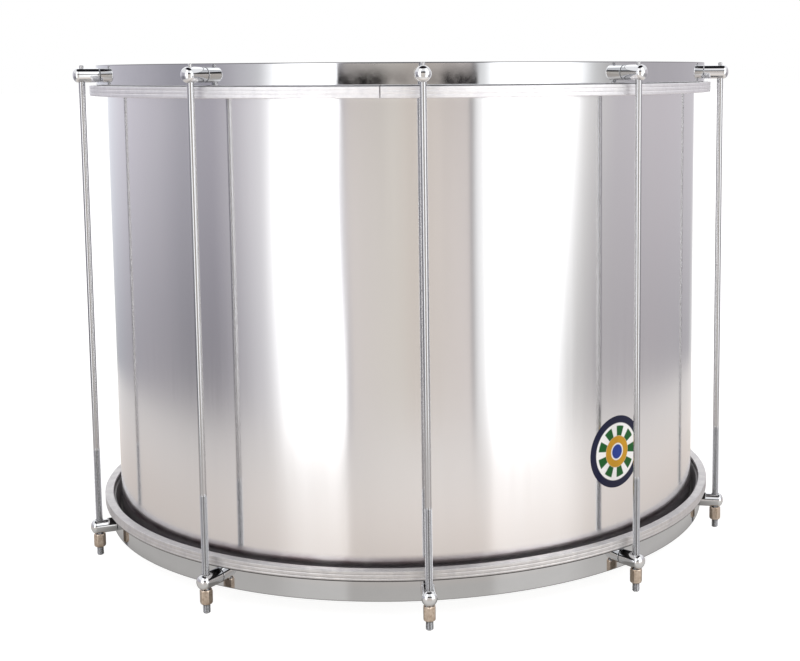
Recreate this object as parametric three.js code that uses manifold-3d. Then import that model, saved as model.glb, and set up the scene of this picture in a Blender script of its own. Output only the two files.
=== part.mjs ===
// A surdo: a deep bass drum with a rolled aluminium shell and a film head at each end.
// Each head's rim sits in a slit aluminium flesh hoop, a flat chromed counterhoop bears on the flesh hoop,
// and ten long rods with hexagon nuts draw the two counterhoops together.
// Millimetres, +Z up. The origin is on the drum's axis, level with the rods' lower tips.
// The first rod stands at the front, on -Y, and the others follow at equal angles.

import * as THREE from "three";
import { mergeVertices } from "three/addons/utils/BufferGeometryUtils.js";
import Module from "manifold-3d";

const wasm = await Module();
wasm.setup();

// Shell
const shellDiameter = 558.8;
const shellWall = 1.2;
const shellEdgeRadius = 3;
const shellEdgeFlange = 9;

// Rods and how far apart they hold the hoops
const rodCount = 10;
const rodStandOff = 14.9; // from the counterhoop's outside to the rod's axis
const barrelSpacing = 410;
const rodShankDiameter = 5.5;
const rodThreadDiameter = 6.35;
const rodThreadLength = 100;
const rodThreadRunout = 2.5;
const rodTipBelowBarrel = 26.5;
const rodTipChamfer = 0.8;
const rodStubDiameter = 3.6;
const rodStubHeight = 2.4;

// Counterhoops
const counterhoopHeight = 18;
const counterhoopThickness = 2.4;
const counterhoopEdgeRound = 0.6;
const shellToCounterhoop = 6.9;

// Flesh hoops
const fleshHoopHeight = 9.2;
const fleshHoopWidth = 7.7;
const fleshHoopStep = 0.5; // its inside stands this much outside the counterhoop's inside
const fleshHoopGrooveDepth = 0.5;
const fleshHoopGrooveWidth = 1.3;
const fleshHoopChannelDepth = 4.2;
const fleshHoopSlit = 0.8;
const topSlitAngle = -6.3; // degrees round from the first rod
const bottomSlitAngle = 173.7;

// Heads
const filmThickness = 0.3;
const filmRimThickness = 0.9;
const filmBendWidth = 1.9;
const filmBendDrop = 1.6;
const rimAboveHead = 7.6; // how far the counterhoop's edge stands beyond the head

// Barrels
const barrelDiameter = 12.7;
const barrelBeyondRod = 7.6;
const barrelDomeHeight = 4.6;
const barrelSpigotDiameter = 6.3;
const barrelRivetDiameter = 9.4;
const barrelRivetHeight = 1.2;
const barrelSocketDepth = 3.2; // the rod's shank enters the upper barrel this far

// Nuts
const nutAcrossFlats = 9.525;
const nutHeight = 11.8;
const nutChamferDrop = 1.1;

// Clearances
const seatGap = 0.3; // between faces that touch
const slideGap = 0.3; // round the rod in the lower barrel, and in the nut
const holeGap = 0.3; // round a spigot in its hole
const tuningStroke = 1.5; // each hoop travels this far either way from rest
const cutOverrun = 1;

// Facets
const ringFacets = 50; // a multiple of the rods, so that every barrel meets a flat
const barrelFacets = 10;
const rodFacets = 8;
const boreFacets = 8;
const nutTurningFacets = 12;
const domeRings = 2;

const shellRadius = shellDiameter / 2;
const facetAngle = (2 * Math.PI) / ringFacets;
const facetFlat = Math.cos(facetAngle / 2); // a flat's distance from the axis, for a corner at 1

const counterhoopInside = shellRadius + shellToCounterhoop;
const counterhoopOutside = counterhoopInside + counterhoopThickness;
const rodCircleRadius = counterhoopOutside + rodStandOff;
const fleshHoopInside = counterhoopInside + fleshHoopStep;
const fleshHoopOutside = fleshHoopInside + fleshHoopWidth;

const lowerBarrelZ = rodTipBelowBarrel;
const upperBarrelZ = lowerBarrelZ + barrelSpacing;
const midZ = (lowerBarrelZ + upperBarrelZ) / 2;
const headAboveMid = barrelSpacing / 2 + counterhoopHeight / 2 - rimAboveHead;
const shellHalfHeight = headAboveMid - filmThickness - seatGap;
const fleshHoopAboveMid =
  barrelSpacing / 2 - counterhoopHeight / 2 - seatGap - fleshHoopHeight / 2;
const fleshHoopChannelHeight = filmRimThickness + 2 * (tuningStroke + seatGap);

const steel = new THREE.MeshStandardMaterial({ color: 0xd9dadb, roughness: 0.12, metalness: 1 });
const zincSteel = new THREE.MeshStandardMaterial({ color: 0xb9bcbf, roughness: 0.32, metalness: 1 });
const polishedAluminium = new THREE.MeshStandardMaterial({ color: 0xd4d4d6, roughness: 0.2, metalness: 1 });
const satinAluminium = new THREE.MeshStandardMaterial({ color: 0xc6c8ca, roughness: 0.4, metalness: 1 });
const brass = new THREE.MeshStandardMaterial({ color: 0xbea082, roughness: 0.35, metalness: 1 });
const milkFilm = new THREE.MeshStandardMaterial({ color: 0xeeeeea, roughness: 0.45, metalness: 0 });

// Solids

function solidOf(geometry) {
  const bare = geometry.clone();
  bare.deleteAttribute("normal");
  bare.deleteAttribute("uv");
  const merged = mergeVertices(bare, 1e-4);
  const mesh = new wasm.Mesh({
    numProp: 3,
    vertProperties: merged.attributes.position.array,
    triVerts: new Uint32Array(merged.index.array),
  });
  return new wasm.Manifold(mesh);
}

function geometryOf(solid) {
  const { vertProperties, triVerts } = solid.getMesh();
  const geometry = new THREE.BufferGeometry();
  geometry.setAttribute("position", new THREE.BufferAttribute(vertProperties, 3));
  geometry.setIndex(new THREE.BufferAttribute(triVerts, 1));
  const faceted = geometry.toNonIndexed();
  faceted.computeVertexNormals();
  return faceted;
}

// Revolves [radius, height] points round +Z; they run with the material on their left.
function revolve(points, facets, turned = 0) {
  const outline = points.map(([radius, height]) => new THREE.Vector2(radius, height));
  const geometry = new THREE.LatheGeometry(outline, facets);
  geometry.rotateX(Math.PI / 2);
  geometry.rotateZ(turned);
  return geometry;
}

// A ring of the drum's facets, closed on itself, whose flats face the rods.
function revolveRing(points) {
  return revolve([...points, points[0]], ringFacets, facetAngle / 2);
}

// Flips a ring's section from the upper end of the drum to the lower end.
function mirrored(points) {
  return points.map(([radius, height]) => [radius, -height]).reverse();
}

function atEnd(points, isTop) {
  return isTop ? points : mirrored(points);
}

// The corner radius of a drilled hole whose flats leave this gap round what passes through.
function holeRadius(diameter, gap, facets) {
  return (diameter / 2 + gap) / Math.cos(Math.PI / facets);
}

function piece(name, geometry, material) {
  const mesh = new THREE.Mesh(geometry, material);
  mesh.name = name;
  return mesh;
}

function numbered(stem, index) {
  return stem + "_" + String(index + 1).padStart(2, "0");
}

// Shell: one wall, turned in at both ends to make the bearing edges

function shellGeometry() {
  const bend = shellEdgeRadius;
  const bendShoulder = bend * (1 - Math.SQRT1_2);
  const top = shellHalfHeight;
  const upper = [
    [shellRadius, top - bend],
    [shellRadius - bendShoulder, top - bendShoulder],
    [shellRadius - bend, top],
    [shellRadius - shellEdgeFlange, top],
    [shellRadius - shellEdgeFlange, top - shellWall],
    [shellRadius - shellWall, top - shellWall],
  ];
  return revolveRing([...mirrored(upper), ...upper]);
}

// Head: a flat film that bends over the bearing edge and runs down and out into the flesh hoop's channel

function headGeometry(isTop) {
  const face = headAboveMid;
  const rim = fleshHoopAboveMid;
  const under = face - filmThickness;
  const bendInside = shellRadius + seatGap;
  const bendStart = bendInside - filmBendWidth;
  const collarInside = counterhoopInside - filmRimThickness - seatGap - filmThickness;
  const rimOutside = fleshHoopInside + fleshHoopChannelDepth - seatGap;
  const points = [
    [0, under],
    [bendStart, under],
    [bendInside, under - filmBendDrop],
    [collarInside, rim - filmRimThickness / 2],
    [rimOutside, rim - filmRimThickness / 2],
    [rimOutside, rim + filmRimThickness / 2],
    [collarInside + filmThickness, rim + filmRimThickness / 2],
    [bendInside + filmThickness, under - filmBendDrop + filmThickness],
    [bendStart + filmThickness, face],
    [0, face],
  ];
  return revolve(atEnd(points, isTop), ringFacets, facetAngle / 2);
}

// Flesh hoop: a rolled aluminium section with two grooves outside and a channel inside, slit at its joint

function fleshHoopGeometry(isTop) {
  const half = fleshHoopHeight / 2;
  const channelHalf = fleshHoopChannelHeight / 2;
  const channelRoot = fleshHoopInside + fleshHoopChannelDepth;
  const groove = (middle) => [
    [fleshHoopOutside, middle - fleshHoopGrooveWidth / 2],
    [fleshHoopOutside - fleshHoopGrooveDepth, middle],
    [fleshHoopOutside, middle + fleshHoopGrooveWidth / 2],
  ];
  const section = [
    [fleshHoopInside, -half],
    [fleshHoopOutside, -half],
    ...groove(-half / 3),
    ...groove(half / 3),
    [fleshHoopOutside, half],
    [fleshHoopInside, half],
    [fleshHoopInside, channelHalf],
    [channelRoot, channelHalf],
    [channelRoot, -channelHalf],
    [fleshHoopInside, -channelHalf],
  ];
  const ring = revolveRing(section);
  const saw = new THREE.BoxGeometry(
    fleshHoopSlit,
    fleshHoopWidth + 2 * cutOverrun,
    fleshHoopHeight + 2 * cutOverrun,
  );
  saw.translate(0, -(fleshHoopInside + fleshHoopOutside) / 2, 0);
  saw.rotateZ(THREE.MathUtils.degToRad(isTop ? topSlitAngle : bottomSlitAngle));
  return geometryOf(solidOf(ring).subtract(solidOf(saw)));
}

// Counterhoop: a flat chromed band with a hole for each barrel's spigot

function counterhoopGeometry() {
  const half = counterhoopHeight / 2;
  const edge = half - counterhoopEdgeRound;
  const section = [
    [counterhoopInside, -half],
    [counterhoopOutside - counterhoopEdgeRound, -half],
    [counterhoopOutside, -edge],
    [counterhoopOutside, edge],
    [counterhoopOutside - counterhoopEdgeRound, half],
    [counterhoopInside, half],
  ];
  const drillRadius = holeRadius(barrelSpigotDiameter, holeGap, barrelFacets);
  const drillLength = counterhoopThickness + 2 * cutOverrun;
  const drillMiddle = (counterhoopInside + counterhoopOutside) / 2;
  let band = solidOf(revolveRing(section));
  for (let index = 0; index < rodCount; index += 1) {
    const drill = new THREE.CylinderGeometry(drillRadius, drillRadius, drillLength, barrelFacets);
    drill.translate(0, -drillMiddle * facetFlat, 0);
    drill.rotateZ(rodAngle(index));
    band = band.subtract(solidOf(drill));
  }
  return geometryOf(band);
}

// Barrel: lies along the drum's radius, domed outside, with a spigot riveted over inside the counterhoop.
// It is made standing on +Z with the rod's axis at height 0, then laid outwards along -Y.

function barrelGeometry(isTop) {
  const radius = barrelDiameter / 2;
  const spigot = barrelSpigotDiameter / 2;
  const rivet = barrelRivetDiameter / 2;
  const domeEnd = barrelBeyondRod;
  const domeStart = domeEnd - barrelDomeHeight;
  const hoopOutside = counterhoopOutside * facetFlat - rodCircleRadius;
  const hoopInside = counterhoopInside * facetFlat - rodCircleRadius;
  const points = [
    [0, hoopInside - seatGap - barrelRivetHeight],
    [rivet / 2, hoopInside - seatGap - barrelRivetHeight],
    [rivet, hoopInside - seatGap],
    [spigot, hoopInside - seatGap],
    [spigot, hoopOutside + seatGap],
    [radius, hoopOutside + seatGap],
  ];
  for (let ring = 0; ring <= domeRings; ring += 1) {
    const angle = (ring / (domeRings + 1)) * (Math.PI / 2);
    points.push([radius * Math.cos(angle), domeStart + barrelDomeHeight * Math.sin(angle)]);
  }
  points.push([0, domeEnd]);
  const body = revolve(points, barrelFacets);
  body.rotateX(Math.PI / 2);
  return geometryOf(solidOf(body).subtract(solidOf(crossBore(isTop))));
}

// The hole for the rod: stepped in an upper barrel, where the shank seats, and plain in a lower one.
function crossBore(isTop) {
  const radius = barrelDiameter / 2;
  const wide = holeRadius(rodThreadDiameter, slideGap, boreFacets);
  if (!isTop) {
    return revolve(
      [
        [0, -radius - cutOverrun],
        [wide, -radius - cutOverrun],
        [wide, radius + cutOverrun],
        [0, radius + cutOverrun],
      ],
      boreFacets,
    );
  }
  const socket = holeRadius(rodShankDiameter, holeGap, boreFacets);
  const narrow = holeRadius(rodStubDiameter, holeGap, boreFacets);
  const step = -radius + barrelSocketDepth;
  return revolve(
    [
      [0, -radius - cutOverrun],
      [socket, -radius - cutOverrun],
      [socket, step],
      [narrow, step],
      [narrow, radius + cutOverrun],
      [0, radius + cutOverrun],
    ],
    boreFacets,
  );
}

// Tension rod: chamfered tip, thread, shank, and a narrow stub through the upper barrel

function rodGeometry() {
  const thread = rodThreadDiameter / 2;
  const shank = rodShankDiameter / 2;
  const stub = rodStubDiameter / 2;
  const shoulder = upperBarrelZ - barrelDiameter / 2 + barrelSocketDepth - seatGap;
  const end = upperBarrelZ + barrelDiameter / 2 + rodStubHeight;
  return revolve(
    [
      [0, 0],
      [thread - rodTipChamfer, 0],
      [thread, rodTipChamfer],
      [thread, rodThreadLength],
      [shank, rodThreadLength + rodThreadRunout],
      [shank, shoulder],
      [stub, shoulder],
      [stub, end],
      [0, end],
    ],
    rodFacets,
  );
}

// Nut: a hexagon whose corners are turned off at both ends, bored for the rod

function nutGeometry() {
  const corner = nutAcrossFlats / Math.sqrt(3);
  const hexagon = revolve(
    [
      [0, 0],
      [corner, 0],
      [corner, nutHeight],
      [0, nutHeight],
    ],
    6,
    Math.PI / 6,
  );
  const faceRadius = nutAcrossFlats / 2;
  const coneRise = nutChamferDrop / (corner - faceRadius);
  const coneOverrun = corner + cutOverrun;
  const overrunDrop = (coneOverrun - faceRadius) * coneRise;
  const turned = revolve(
    [
      [0, 0],
      [faceRadius, 0],
      [coneOverrun, overrunDrop],
      [coneOverrun, nutHeight - overrunDrop],
      [faceRadius, nutHeight],
      [0, nutHeight],
    ],
    nutTurningFacets,
  );
  const boreRadius = holeRadius(rodThreadDiameter, slideGap, boreFacets);
  const bore = revolve(
    [
      [0, -cutOverrun],
      [boreRadius, -cutOverrun],
      [boreRadius, nutHeight + cutOverrun],
      [0, nutHeight + cutOverrun],
    ],
    boreFacets,
  );
  return geometryOf(solidOf(hexagon).intersect(solidOf(turned)).subtract(solidOf(bore)));
}

// The drum

function rodAngle(index) {
  return (index * 2 * Math.PI) / rodCount;
}

// A group at one rod's place, turned so that its -Y points away from the drum.
function station(index) {
  const group = new THREE.Group();
  const angle = rodAngle(index);
  group.position.set(rodCircleRadius * Math.sin(angle), -rodCircleRadius * Math.cos(angle), 0);
  group.rotation.z = angle;
  return group;
}

function tensioner(index, shapes) {
  const group = station(index);
  const upper = piece(numbered("top_barrel", index), shapes.upperBarrel, steel);
  upper.position.z = upperBarrelZ;
  const lower = piece(numbered("bottom_barrel", index), shapes.lowerBarrel, steel);
  lower.position.z = lowerBarrelZ;
  const rod = piece(numbered("tension_rod", index), shapes.rod, zincSteel);
  const nut = piece(numbered("tuning_nut", index), shapes.nut, brass);
  nut.position.z = lowerBarrelZ - barrelDiameter / 2 - seatGap - nutHeight;
  group.add(upper, lower, rod, nut);
  return group;
}

function drumEnd(isTop) {
  const end = isTop ? "top" : "bottom";
  const side = isTop ? 1 : -1;
  const group = new THREE.Group();
  const head = piece(end + "_head_film", headGeometry(isTop), milkFilm);
  const fleshHoop = piece(end + "_flesh_hoop", fleshHoopGeometry(isTop), satinAluminium);
  fleshHoop.position.z = side * fleshHoopAboveMid;
  const counterhoop = piece(end + "_counterhoop", counterhoopGeometry(), steel);
  counterhoop.position.z = (side * barrelSpacing) / 2;
  group.add(head, fleshHoop, counterhoop);
  return group;
}

const surdo = new THREE.Group();
const middle = new THREE.Group();
middle.position.z = midZ;
middle.add(piece("shell", shellGeometry(), polishedAluminium), drumEnd(true), drumEnd(false));
surdo.add(middle);

const shapes = {
  upperBarrel: barrelGeometry(true),
  lowerBarrel: barrelGeometry(false),
  rod: rodGeometry(),
  nut: nutGeometry(),
};
for (let index = 0; index < rodCount; index += 1) {
  surdo.add(tensioner(index, shapes));
}

export default surdo;
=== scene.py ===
"""A surdo drum in a plain pale studio.

A polished aluminium shell stands between two milky film heads. Slit aluminium flesh hoops hold the
films, and ten long rods through chromed barrels draw two flat chromed counterhoops together.
"""

import math

import bmesh
import bpy
from mathutils import Matrix, Vector


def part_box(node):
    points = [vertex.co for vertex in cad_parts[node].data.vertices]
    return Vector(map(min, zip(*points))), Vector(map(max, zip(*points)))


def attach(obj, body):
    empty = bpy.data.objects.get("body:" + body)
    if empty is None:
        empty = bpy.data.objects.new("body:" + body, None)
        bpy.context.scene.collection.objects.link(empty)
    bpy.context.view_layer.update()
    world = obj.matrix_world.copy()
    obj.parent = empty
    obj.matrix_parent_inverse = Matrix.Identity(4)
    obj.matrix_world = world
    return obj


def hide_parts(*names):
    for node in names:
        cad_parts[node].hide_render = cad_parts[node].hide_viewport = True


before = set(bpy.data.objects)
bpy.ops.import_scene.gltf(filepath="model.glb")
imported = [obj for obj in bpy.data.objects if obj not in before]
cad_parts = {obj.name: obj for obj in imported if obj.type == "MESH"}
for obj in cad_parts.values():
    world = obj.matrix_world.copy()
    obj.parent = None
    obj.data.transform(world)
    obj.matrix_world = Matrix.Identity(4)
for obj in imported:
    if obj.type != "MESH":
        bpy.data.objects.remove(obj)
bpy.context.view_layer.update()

MM = 0.001

# Sizes taken from the frame
shell_low, shell_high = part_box("shell")
shell_radius = shell_high.x
shell_middle = (shell_low.z + shell_high.z) / 2
rod_low, rod_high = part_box("tension_rod_01")
rod_circle = -(rod_low.y + rod_high.y) / 2
upper_barrel_z = sum(corner.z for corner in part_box("top_barrel_01")) / 2
lower_barrel_z = sum(corner.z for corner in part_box("bottom_barrel_01")) / 2
nut_low, nut_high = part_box("tuning_nut_01")

# Shell
SHELL_WALL = 1.2 * MM
SHELL_EDGE_RADIUS = 3 * MM
SHELL_EDGE_FLANGE = 9 * MM
SHELL_TRUE_EDGE = 40 * MM  # the turned edges hold the shell round over this height
SHELL_OUT_OF_ROUND = 0.2 * MM
# The waves of its thin wall: how many in a turn, their share of that size, and in radians where
# they start, how far they twist from foot to top, and how they swell and fade on the way
SHELL_WAVES = (
    (3, 0.5, 0.6, 0.0, 0.0),
    (7, 0.3, 2.0, 2.2, 0.0),
    (13, 0.16, 1.1, -3.0, 5.0),
)
SHELL_LEVELS = 48  # heights at which the wall follows the waves
# Heights above the foot at which the painted shade, a brown band just above the flesh hoop, starts, is
# full and has faded out
FOOT_SHADE_START, FOOT_SHADE_FULL, FOOT_SHADE_END = 17 * MM, 20 * MM, 28 * MM

# Heads
FILM = 0.3 * MM
FILM_RIM = 0.9 * MM
FILM_BEND_WIDTH = 1.9 * MM
FILM_BEND_DROP = 1.6 * MM
FILM_BEND_SHAPE = ((0.5, 0.2), (0.86, 0.6))  # points on the bend, as shares of its width and drop
FILM_GAP = 0.3 * MM
COLLAR_SHADE_FADE = 2 * MM  # the collar's painted shade is full this far outside the shell
HEAD_DISCS = 24  # rings of points across a face, which keep its shading even
# Mallets scuff the middle. The scuffs are full and end at these radii, and the film's clouds move
# both inwards by up to the last number
STRUCK_FULL, STRUCK_END, STRUCK_RAGGED = 80 * MM, 190 * MM, 110 * MM

# Flesh hoops
FLESH_WIDTH = 7.7 * MM
FLESH_CORNER = 0.7 * MM
FLESH_FOOT_CORNER = 1.8 * MM
FLESH_GROOVE_DEPTH = 0.28 * MM
FLESH_GROOVE_WIDTH = 1.3 * MM
FLESH_GROOVE_STEPS = 6
FLESH_CHANNEL_DEPTH = 4.2 * MM
FLESH_CHANNEL_HEIGHT = 4.5 * MM
FLESH_SLIT = 0.8 * MM
TOP_SLIT_ANGLE = -6.3  # degrees round from the front
BOTTOM_SLIT_ANGLE = 173.7
UNDERSIDE_SHADE_FADE = 0.1 * MM  # how sharply the painted shade on the lower ring's underside ends above its rounded foot
SHADED_BELOW, LIT_ABOVE = 100 * MM, 300 * MM  # the lower ring, painted darker as shade, is below these, the upper one above

# Counterhoops
HOOP_THICKNESS = 2.4 * MM
HOOP_EDGE = 0.9 * MM
HOOP_STEP = 0.5 * MM  # the flesh hoop's inside stands this much outside the counterhoop's
hoop_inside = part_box("top_counterhoop")[1].x - HOOP_THICKNESS
flesh_inside = hoop_inside + HOOP_STEP

# Barrels
STATIONS = 10
BARREL = 12.7 * MM
BARREL_BEYOND_ROD = 7.6 * MM
BARREL_DOME = 4.6 * MM
BARREL_EDGE = 0.35 * MM
BARREL_GAP = 0.3 * MM
BARREL_STEPS = 96
SPIGOT = 6.3 * MM
RIVET = 9.4 * MM
RIVET_HEIGHT = 1.2 * MM
SOCKET_DEPTH = 3.2 * MM
DRILL_PAST = 2 * MM  # a drill reaches this far past what it goes through

# Rods
THREAD = 6.35 * MM
THREAD_PITCH = 1.27 * MM
THREAD_DEPTH = 0.74 * MM
THREAD_LENGTH = 100 * MM
THREAD_FLAT = 0.08  # the crest's share of half a turn
THREAD_FLANK = 0.8  # the share of the slope from the crest to the root
THREAD_STEPS = 7  # rings of points in one turn
SHANK = 5.5 * MM
STUB = 3.6 * MM
TIP_CHAMFER = 0.8 * MM
ROD_CHAMFER = 0.4 * MM
ROD_GUARD = 0.2 * MM  # a ring this near to a corner holds the run beside it straight
ROD_STEPS = 20

# Nuts
NUT_FLATS = 9.525 * MM
NUT_CORNER_ROUND = 0.25 * MM
NUT_CHAMFER_DROP = 1.1 * MM
NUT_FACE = 0.15 * MM  # the chamfer's cone starts this far inside the flats
NUT_SINK = 0.5 * MM
# Where the nut has points: degrees from a flat's middle, and distances from its ends
NUT_ANGLES = (-28.5, -26, -20, -10, 0, 10, 20, 26, 28.5, 30)
NUT_LEVELS = tuple(level * MM for level in (0, 0.15, 0.3, 0.45, 0.6, 0.8, 1.0, 1.2, 1.6))

# Label
LABEL_DIAMETER = 62 * MM
LABEL_THICKNESS = 0.2 * MM
LABEL_LIFT = 0.02 * MM  # the glue under it
LABEL_ANGLE = 36.4  # degrees round from the front
LABEL_HEIGHT = 115.8 * MM
LABEL_RINGS, LABEL_STEPS = 12, 72
LABEL_RAYS = 9
LABEL_RAY_EDGE = (-0.4, -0.1)  # the wave round the label goes from white to ink between these
LABEL_EDGE = 0.012  # half the blur of a printed edge, as a share of the label's radius
# What is printed, each over the one before: its ink, where it starts and ends as shares of the
# radius, and whether it is broken into rays. Green rays, a yellow disc, a blue middle, a navy rim
LABEL_PRINT = (
    ("#04591d", 0.44, 0.72, True),
    ("#c9951f", 0.24, 0.44, False),
    ("#1b3a94", -1.0, 0.2, False),
    ("#0b1033", 0.8, 2.0, False),
)

# How finely the meshes are made
HOLD = 0.12 * MM  # a point this near to a corner holds the long run beside it flat
LONG_RUN = 5 * HOLD
HELD_TURN = math.radians(1)  # less of a turn than this is no corner
RING_STEPS = 480  # sides of the shell and the hoops
HEAD_STEPS = 240
HOLE_STEPS = 48
RIVET_HOLE_STEPS = 24


# Colours and nodes

# Settings that many nodes share
PLUS = {"operation": "ADD"}
MINUS = {"operation": "SUBTRACT"}
TIMES = {"operation": "MULTIPLY"}
TIMES_PLUS = {"operation": "MULTIPLY_ADD"}
LENGTH = {"operation": "LENGTH"}
COLOURS = {"data_type": "RGBA"}
SMOOTH = {"interpolation_type": "SMOOTHSTEP"}


def linear(hex_colour):
    """An sRGB hex colour as linear red, green, blue and an alpha of 1."""
    channels = [int(hex_colour[i : i + 2], 16) / 255 for i in (1, 3, 5)]
    return [c / 12.92 if c <= 0.04045 else ((c + 0.055) / 1.055) ** 2.4 for c in channels] + [1.0]


def add_node(owner, kind, settings=None, links=()):
    """Adds a node with its settings and its links: a table by input, or a list for the inputs in
    use. A link is an output, a node, meaning its first output in use, a hex colour or a value."""
    node = owner.node_tree.nodes.new("ShaderNode" + kind)
    for name, value in (settings or {}).items():
        setattr(node, name, value)
    if not isinstance(links, dict):
        used = [i for i, socket in enumerate(node.inputs) if socket.enabled]
        links = dict(zip(used, links))
    for name, value in links.items():
        if isinstance(value, bpy.types.Node):
            value = next(output for output in value.outputs if output.enabled)
        if isinstance(value, bpy.types.NodeSocket):
            owner.node_tree.links.new(value, node.inputs[name])
        else:
            node.inputs[name].default_value = linear(value) if isinstance(value, str) else value
    return node


def new_material(name):
    """An empty node material, and the object coordinates that its patterns lie in."""
    material = bpy.data.materials.new(name)
    material.use_nodes = True
    material.node_tree.nodes.clear()
    return material, add_node(material, "TexCoord").outputs["Object"]


def close_material(material, shader):
    """Puts the shader on the material's surface."""
    add_node(material, "OutputMaterial", links={"Surface": shader})
    return material


def grain(owner, place, stretch, size, detail=3.0, roughness=0.6):
    """Noise whose grains are size metres across, divided by the stretch along each axis."""
    scaled = add_node(owner, "Mapping", links={"Vector": place, "Scale": stretch})
    links = {"Vector": scaled, "Scale": 1 / size, "Detail": detail, "Roughness": roughness}
    return add_node(owner, "TexNoise", links=links)


def from_axis(owner, place):
    """How far a point is from the drum's axis."""
    flat = add_node(owner, "VectorMath", TIMES, [place, (1, 1, 0)])
    return add_node(owner, "VectorMath", LENGTH, [flat])


def upward(owner):
    """How far the surface faces up: 1 on a level top, 0 on an upright wall, -1 on an underside."""
    facing = add_node(owner, "NewGeometry").outputs["Normal"]
    return add_node(owner, "SeparateXYZ", links=[facing]).outputs["Z"]


# Materials. A Map Range node's list is a value, the range that it comes from and the one it goes to


def polished_aluminium():
    """Rolled sheet aluminium, buffed round the shell: bright, near mirror, blurred more up and down
    than round, with faint upright streaks from the sheet's rolling, about 5 mm apart. Just above
    the flesh hoop, a patchy brown band is painted shade where the shell meets the hoop."""
    material, place = new_material("polished_aluminium")
    axes = add_node(material, "SeparateXYZ", links=[place])
    height = add_node(material, "Math", MINUS, [axes.outputs["Z"], shell_low.z])
    # A patchy brown band just above the flesh hoop is painted shade where the shell meets the hoop
    blotches = grain(material, place, (1, 1, 0.2), 34 * MM, 2)
    patchy = add_node(material, "MapRange", links=[blotches, 0.35, 0.65, 0.5, 1])
    starting = add_node(material, "MapRange", links=[height, FOOT_SHADE_START, FOOT_SHADE_FULL, 0, 1])
    fading = add_node(material, "MapRange", SMOOTH, [height, FOOT_SHADE_FULL, FOOT_SHADE_END, 1, 0])
    foot_shade = add_node(material, "Math", TIMES, [fading, patchy])
    foot_shade = add_node(material, "Math", TIMES, [foot_shade, starting])
    smears = grain(material, place, (1, 1, 0.5), 90 * MM, 2)
    clean = add_node(material, "Mix", COLOURS, [smears, "#f4f3f3", "#eeeef0"])
    streaks = grain(material, place, (1, 1, 0.02), 5 * MM, 4)
    bump = add_node(
        material, "Bump", links={"Strength": 0.35, "Distance": 0.006 * MM, "Height": streaks}
    )
    tangent = add_node(material, "Tangent", {"direction_type": "RADIAL", "axis": "Z"})
    shader = add_node(
        material,
        "BsdfPrincipled",
        links={
            "Base Color": add_node(material, "Mix", COLOURS, [foot_shade, clean, "#a8979a"]),
            "Metallic": 1.0,
            "Roughness": add_node(material, "MapRange", links=[streaks, 0.3, 0.7, 0.11, 0.135]),
            "Anisotropic": 1.0,
            "Anisotropic Rotation": 0.25,
            "Normal": bump,
            "Tangent": tangent,
        },
    )
    return close_material(material, shader)


def satin_aluminium():
    """Extruded aluminium, rolled into a ring: satin, with fine lines along the extrusion. The lower
    ring, near the floor, is painted darker as shade, and its underside is painted dark as shade."""
    material, place = new_material("satin_extruded_aluminium")
    height = add_node(material, "SeparateXYZ", links=[place]).outputs["Z"]
    section = add_node(material, "CombineXYZ", links=[from_axis(material, place), height])
    # The die's real lines are about 0.1 mm apart. They are drawn coarser, so that they show
    lines = grain(material, section, (1, 1, 1), 0.5 * MM, 3)
    bump = add_node(
        material, "Bump", links={"Strength": 0.14, "Distance": 0.02 * MM, "Height": lines}
    )
    scuffs = grain(material, place, (1, 1, 1), 9 * MM, 5, 0.7)
    scuffed = add_node(material, "MapRange", links=[scuffs, 0.35, 0.7, 0, 1])
    bright = add_node(material, "Mix", COLOURS, [scuffed, "#fbfafb", "#ecebee"])
    # The lower ring's darker copy is painted shade
    shaded_satin = add_node(material, "Mix", COLOURS, [scuffed, "#e0dedd", "#cfcdce"])
    lower = add_node(material, "MapRange", links=[height, SHADED_BELOW, LIT_ABOVE, 1, 0])
    clean = add_node(material, "Mix", COLOURS, [lower, bright, shaded_satin])
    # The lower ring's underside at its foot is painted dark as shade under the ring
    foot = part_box("bottom_flesh_hoop")[0].z + FLESH_FOOT_CORNER
    low = add_node(material, "MapRange", links=[height, foot, foot + UNDERSIDE_SHADE_FADE, 1, 0])
    under = add_node(material, "MapRange", links=[upward(material), -0.5, -0.05, 1, 0])
    underside_shade = add_node(material, "Math", TIMES, [under, low])
    shader = add_node(
        material,
        "BsdfPrincipled",
        links={
            "Base Color": add_node(material, "Mix", COLOURS, [underside_shade, clean, "#3a3839"]),
            "Metallic": 1.0,
            "Roughness": add_node(material, "MapRange", links=[scuffs, 0.3, 0.7, 0.47, 0.57]),
            "Normal": bump,
        },
    )
    return close_material(material, shader)


def chrome_plate(name, clean, dusty, top_shade=None):
    """Bright chromium over nickel on steel: a clear, slightly cool mirror with a thin film of dust.
    Where a last colour is given, the faces that look up are painted with it: painted shade on a
    band's rim."""
    material, place = new_material(name)
    dust = grain(material, place, (1, 1, 1), 14 * MM, 5, 0.7)
    colour = add_node(material, "Mix", COLOURS, [dust, clean, dusty])
    if top_shade:
        # The faces that look up are painted darker as shade
        rim = add_node(material, "MapRange", links=[upward(material), 0.1, 0.35, 0, 1])
        colour = add_node(material, "Mix", COLOURS, [rim, colour, top_shade])
    shader = add_node(
        material,
        "BsdfPrincipled",
        links={
            "Base Color": colour,
            "Metallic": 1.0,
            "Roughness": add_node(material, "MapRange", links=[dust, 0.35, 0.75, 0.035, 0.09]),
        },
    )
    return close_material(material, shader)


def zinc_steel():
    """Drawn steel rod, bright zinc plated: light grey and half mirror, a little uneven along it."""
    material, place = new_material("zinc_plated_steel")
    patches = grain(material, place, (1, 1, 0.15), 9 * MM, 3)
    shader = add_node(
        material,
        "BsdfPrincipled",
        links={
            "Base Color": add_node(material, "Mix", COLOURS, [patches, "#c4c4c6", "#b4b5b7"]),
            "Metallic": 1.0,
            "Roughness": add_node(material, "MapRange", links=[patches, 0.3, 0.7, 0.14, 0.22]),
        },
    )
    return close_material(material, shader)


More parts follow.
